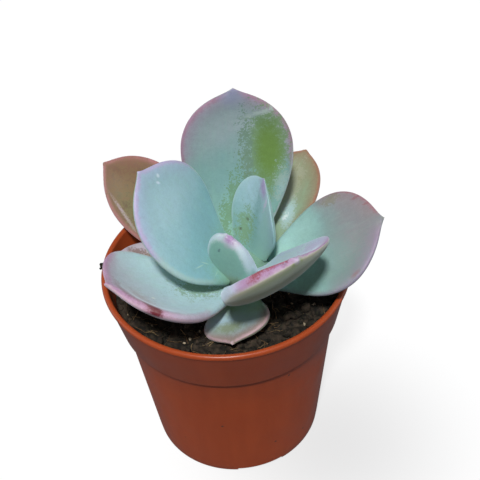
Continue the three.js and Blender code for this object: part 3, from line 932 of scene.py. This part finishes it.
# %% Write down the looks
LOOKS = {
    "leaf_back_tall": Look(
        flesh="#8cb8a8", wax="#7fa5a1", tip="#9aaaac", under="#8ba39c", base=12, tip_from=24,
        bands=[
            Band("#a091a3", 4.2, 0.7, along=(24, 44)),
            Band("#a3788f", 1.3, 0.75, along=(22, 44)),
            Band("#c3cbcb", 0.6, 0.8, along=(10, 27), side=-1),
        ],
        marks=[
            Mark("#9aa1bb", 0.3, 38.8, 2.2, 2.2, soft=0.8, strength=0.8),
            Mark("#7c9a76", -6.4, 26, 4.4, 10, ragged=1.2, soft=0.25, strength=0.9, shine=0.34),
            Mark("#6f8f45", -6.8, 26, 2.9, 7, ragged=0.6, soft=0.6, strength=0.95, shine=0.34),
            Mark("#77937f", -1.9, 26, 1.2, 7, ragged=3.5, soft=0.2, strength=0.85, shine=0.4),
            # The pale arc at the top of the rubbed patch is a painted highlight, on skin that is
            # really glossier.
            Mark("#c3d0d0", -5.6, 34.9, 2.6, 0.5, turn=18, ragged=3.6, soft=0.6, strength=0.6,
                 shine=0.3),
            Mark("#a3bcb9", -9.4, 17.5, 1.4, 4, ragged=3, strength=0.7),
            Mark("#72966d", 2.2, 13, 1.5, 7.5, turn=-14, ragged=3.6, soft=0.2, strength=0.75),
        ]),
    "leaf_left_upper": Look(
        flesh="#8fc2b1", wax="#8cbcc2", tip="#a3c7ce", under="#9fbdb0", base=6, tip_from=18,
        thin=0.3,
        bands=[
            Band("#a9afd2", 4, 0.45, along=(24, 40)),
            Band("#c0a8cf", 1.1, 0.7, along=(22, 40)),
            Band("#b9cfc4", 1.4, 0.6, along=(8, 22), side=1),
            Band("#b6d1b4", 0.7, 0.8, along=(5, 24), side=-1),
        ],
        marks=[
            Mark("#d3e5ee", -2.8, 30.7, 0.3, 0.45, soft=0.7),
            Mark("#d3e5ee", -1.8, 29.6, 0.25, 0.5, turn=30, soft=0.7),
            Mark("#b3d3c9", 7.6, 13, 0.12, 1.1, turn=50, soft=0.7),
            Mark("#b3d3c9", 5.8, 11.6, 0.12, 0.9, turn=20, soft=0.7),
            Mark("#b3d3c9", 6.6, 8.4, 0.12, 1, turn=70, soft=0.7),
            Mark("#93bf9b", 2, 4, 7, 5, soft=0.9, strength=0.8),
        ]),
    "leaf_left_lower": Look(
        flesh="#aed6c9", wax="#c0dee4", tip="#c6cfd8", under="#c3b4ae", base=4, tip_from=20,
        sheen=0.4,
        bands=[
            Band("#b9a1b6", 4, 0.75, along=(26, 40)),
            Band("#bf92b2", 1.8, 0.8, along=(25, 40)),
            Band("#c1a8bd", 1.9, 0.75, along=(14, 30), side=1),
            Band("#c4a3b6", 1.8, 0.8, along=(12, 40), face=-1),
            Band("#c8bdc6", 0.9, 0.6, along=(8, 26), side=-1),
        ],
        marks=[
            Mark("#8f626a", 1.6, 30.3, 3, 0.9, ragged=1.4, soft=0.8, strength=0.8),
            Mark("#e3ecea", 2.5, 22.9, 0.3, 0.45, soft=0.7),
            Mark("#a96a86", 7.4, 28.6, 1.1, 4, turn=-73, face=0, soft=0.7, strength=0.7),
            Mark("#6e1f2a", 8.9, 28.2, 0.75, 2.6, turn=-73, face=0, ragged=0.8, soft=0.45),
            Mark("#ac9694", 4, 27.4, 4, 2.4, soft=0.9, strength=0.6),
            Mark("#8fb48d", 0.5, 9, 3.2, 4.5, ragged=3.2, soft=0.3, strength=0.7),
        ]),
    "leaf_right": Look(
        flesh="#a6d0c9", wax="#86a9a5", tip="#909093", under="#8d9aa0", base=14, tip_from=17,
        thin=0.12,
        bands=[
            Band("#97878b", 4.4, 0.75, along=(17, 40), side=1),
            Band("#a5727c", 0.8, 0.8, along=(18, 40), side=1),
            Band("#98889a", 4.6, 0.75, along=(18, 40), side=-1),
            Band("#9a7f9f", 1, 0.75, along=(12, 30), side=-1),
            Band("#b6cfc4", 0.6, 0.6, along=(4, 16), side=1),
        ],
        marks=[
            Mark("#8a8670", 9.9, 20.8, 1.1, 2, ragged=2, strength=0.6),
            Mark("#96666d", 7.6, 26.6, 0.35, 0.8, ragged=1.2, strength=0.7),
            Mark("#96666d", 5, 28.9, 0.35, 0.9, ragged=1.2, strength=0.7),
            Mark("#a0636f", -9.9, 23.8, 0.4, 1.1, turn=25, soft=0.7, strength=0.75),
            Mark("#8fb5ad", -7, 16, 6, 9, soft=0.9, strength=0.55),
        ]),
    "leaf_front_right": Look(
        # Its tip colour is the lilac of the point, made paler as painted light on the upper face,
        # which turns away from the lamp.
        flesh="#a9b98f", wax="#b3cad2", tip="#c9d0e6", under="#8f9a70", base=0, tip_from=16,
        sheen=0.5,
        bands=[
            Band("#b3c3da", 3.2, 0.7, side=1),
            Band("#b08fc0", 2.4, 0.75, along=(19, 40), side=1),
            Band("#ad7fa6", 2.6, 0.85, along=(25, 40)),
            Band("#bccad6", 1.6, 0.7, along=(0, 23)),
            Band("#bdb3ae", 0.9, 0.5, face=-1),
        ],
        marks=[
            Mark("#963c40", -4.8, 29.5, 3.5, 0.75, turn=-22, soft=0.6, strength=0.95),
            Mark("#b2596a", -3, 30.4, 2.2, 0.6, turn=-22, ragged=1.4, soft=0.6, strength=0.8),
            Mark("#c3b9d3", 0, 31.9, 0.5, 0.5, face=0, soft=0.8, strength=0.7),
            Mark("#ab90c0", 8.3, 21.5, 1.6, 5.5, ragged=1.8, soft=0.6, strength=0.7),
            Mark("#a283b5", 5.2, 29, 1.6, 0.9, turn=20, ragged=1.6, strength=0.7),
            Mark("#a3a070", -8, 15.8, 5, 9, face=-1, soft=0.9, strength=0.6),
        ]),
    "leaf_front_low": Look(
        flesh="#8fae78", wax="#a0bfcc", tip="#98a3a0", under="#8b8f78", base=8, tip_from=8,
        bands=[
            Band("#8b7269", 2.8, 0.8, along=(8, 20)),
            Band("#b99aa0", 0.7, 0.8, along=(6, 20)),
        ],
        marks=[
            Mark("#a6c2d0", -3.4, 9.6, 3.6, 2.2, soft=0.9, strength=0.75),
            Mark("#84906c", -1.4, 11.4, 3.2, 1.5, soft=0.6, strength=0.8),
            Mark("#c4aeb0", 0, 15.1, 0.4, 0.4, face=0, soft=0.6),
        ]),
    "leaf_bud_back": Look(
        flesh="#86b39c", wax="#86aeab", tip="#a8c6cf", under="#92b8b4", base=3, tip_from=9,
        thin=0.3,
        bands=[Band("#b3cdd0", 0.9, 0.5, side=1)],
        marks=[
            # The darker middle and the pale strip beside it are painted shade and painted light of
            # the curved face.
            Mark("#7ba5a0", 0.1, 10, 1.3, 8, soft=0.9, strength=0.7),
            Mark("#9cc6bd", -4.2, 9, 2.1, 9, soft=0.9, strength=0.7),
            Mark("#84a375", 2.6, 7.6, 2.2, 3.6, ragged=2.8, soft=0.3, strength=0.7),
            Mark("#b18dc0", -0.9, 19, 1.7, 1.7, soft=0.8, strength=0.85),
            Mark("#d7c5dc", -3.4, 17.4, 0.5, 2.2, turn=-20, ragged=3, strength=0.8),
            Mark("#5c5f48", 3.6, 6.6, 0.35, 0.35, soft=0.5, strength=0.8),
            Mark("#66755a", 2.4, 9.6, 0.4, 0.3, soft=0.5, strength=0.8),
        ]),
    "leaf_bud_front": Look(
        flesh="#8fb592", wax="#a3bfc6", tip="#c3cfdd", under="#80aa9c", base=0, tip_from=4,
        sheen=0.4,
        bands=[
            Band("#c3d0de", 2.6, 0.85),
            Band("#cbd8e0", 1.3, 0.85, along=(8, 20), face=-1),
        ],
        marks=[
            Mark("#c9b7cc", 1.4, 15.7, 2.2, 0.9, face=0, soft=0.9, strength=0.6),
            Mark("#a87fae", 0.9, 16.1, 0.9, 0.8, face=0, soft=0.8, strength=0.85),
            Mark("#5f7f7c", -1.2, 13.2, 0.2, 0.5, turn=30, face=-1),
            Mark("#8fa86c", 2.4, 3.2, 3.5, 2.6, face=-1, soft=0.9, strength=0.8),
        ]),
    "leaf_back_left": Look(
        flesh="#72733f", wax="#63583b", tip="#6d5a44", under="#867d62", base=8, tip_from=24,
        thin=0.5, shine=0.42,
        bands=[
            Band("#8b6756", 4, 0.7),
            Band("#b3787a", 1.5, 0.85),
        ],
        marks=[
            # This pale streak near the rim is a painted highlight.
            Mark("#b9aab2", 5.8, 28.6, 0.35, 5.5, turn=-14, ragged=1.6, soft=0.5, strength=0.65),
            Mark("#7f7c5e", 2, 32.5, 2.8, 3.5, ragged=1.4, soft=0.8, strength=0.5),
            Mark("#7d8450", 0.5, 25, 5.5, 9, ragged=3.2, strength=0.45),
            Mark("#8a5f4c", -2, 33, 6, 5, ragged=3.2, soft=0.5, strength=0.5),
        ]),
    "leaf_back_right": Look(
        flesh="#8aa88a", wax="#8aa286", tip="#8c8f72", under="#8c9076", base=6, tip_from=18,
        thin=0.5, shine=0.36,
        bands=[
            Band("#8d7a60", 3.2, 0.8, along=(12, 40)),
            Band("#a5705c", 1, 0.75, along=(12, 40)),
        ],
        marks=[
            # A glossy band: its lower roughness is real, its pale colour and the white spot in it
            # are a painted highlight.
            Mark("#a9c6c6", -2.9, 15.2, 1.5, 3.6, turn=12, ragged=1.4, soft=0.5, strength=0.9,
                 shine=0.25),
            Mark("#d5e2e0", -2.8, 14.2, 0.6, 0.8, ragged=3.4, soft=0.3, strength=0.8),
            Mark("#71835f", 2, 16, 1.6, 7, soft=0.9, strength=0.6),
            Mark("#a3a68f", -1, 22, 1.6, 5, ragged=3, soft=0.3, strength=0.6),
        ]),
    "leaf_left_under": Look(
        flesh="#a9a19d", wax="#b3acb6", tip="#bdb3bf", under="#96918a", base=6, tip_from=16,
        bands=[Band("#b3a6ae", 1.5, 0.7)],
        marks=[
            Mark("#7d6255", -5.2, 20.5, 1, 2.2, ragged=2, strength=0.75),
            Mark("#8a7b5f", -4.2, 17.5, 1.4, 2, ragged=2, strength=0.6),
        ]),
}
HEART_LOOK = Look(
    flesh="#9dbf97", wax="#a3c4b9", tip="#b9cfd6", under="#a3bfae", base=1, tip_from=2,
    bands=[Band("#c9b9d2", 0.7, 0.7, face=0)])
marks = sum(len(look.marks) for look in LOOKS.values())
print(len(LOOKS), "looks with", marks, "marks")

# %% Grow all the leaves
OLD_LEAVES = ("leaf_back_left", "leaf_back_right", "leaf_left_under")
for node_name, leaf in LEAVES.items():
    look = LOOKS.get(node_name, HEART_LOOK)
    skin = leaf_skin("waxy_epidermis_of_" + node_name, look)
    slot_name = "older_leaf" if node_name in OLD_LEAVES else "leaf"
    piece(node_name + "_grown", grow(leaf), skin, slot_name, node_name)

# %% [markdown]
# ## The crown
#
# At the top of the stem the leaf bases clasp it and each other, so that no peat shows between
# them. The bases of the grown leaves are blunt, so a knob of the same flesh fills the room
# among them: a ball pulled long, with a furrow for each base pressed into it.

# %% Fill the crown
CROWN_RADIUS = 6.2
CROWN_HALF_HEIGHT = 3.4
CROWN_MIDDLE = 50.2
CROWN_FURROWS = 8
FURROW_DEPTH = 0.07
CROWN_ALONG = 2
CROWN_SEGMENTS = 96
CROWN_RINGS = 48

crown = bmesh.new()
bmesh.ops.create_uvsphere(crown, u_segments=CROWN_SEGMENTS, v_segments=CROWN_RINGS, radius=1)
crown_place = crown.verts.layers.float_vector.new("leaf_mm")
for vert in crown.verts:
    angle = math.atan2(vert.co.y, vert.co.x)
    furrow = 1 - FURROW_DEPTH * abs(math.sin(angle * CROWN_FURROWS / 2)) ** 0.5
    vert[crown_place] = (0, CROWN_ALONG * (1 + vert.co.z), 1)
    vert.co = Vector((STEM_X + CROWN_RADIUS * furrow * vert.co.x,
                      STEM_Y + CROWN_RADIUS * furrow * vert.co.y,
                      CROWN_MIDDLE + CROWN_HALF_HEIGHT * vert.co.z)) * MM
bmesh.ops.recalc_face_normals(crown, faces=crown.faces)
crown_look = Look(
    flesh="#789a86", wax="#8aae9c", tip="#8aae9c", under="#789a86", base=6, tip_from=30)
piece("leaf_crown", crown, leaf_skin("fleshy_leaf_bases", crown_look), "leaf")

# %% [markdown]
# ## The stem
#
# The stem is hidden by the leaves, except from low down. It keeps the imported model's form,
# and only gets a finish: young bark, green going brown, ringed by the scars of old leaves.

# %% Finish the stem
BARK_GREEN = "#7d8a5c"
BARK_BROWN = "#6a5238"
SCAR_RINGS = 0.3 / MM

bark, tree, shader = finish("young_succulent_bark", {"Roughness": 0.7})
place = add(tree, "TexCoord")["Object"]
rings = add(tree, "TexWave", {"Vector": place, "Scale": SCAR_RINGS, "Distortion": 3,
                              "Detail": 2}, bands_direction="Z")["Fac"]
tone = layered(tree, BARK_GREEN, [(rings, BARK_BROWN)])
tree.links.new(tone, shader.inputs["Base Color"])
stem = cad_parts["stem_with_roots"]
stem.data.materials.clear()
stem.data.materials.append(bark)
print("stem keeps its", len(stem.data.polygons), "faces")
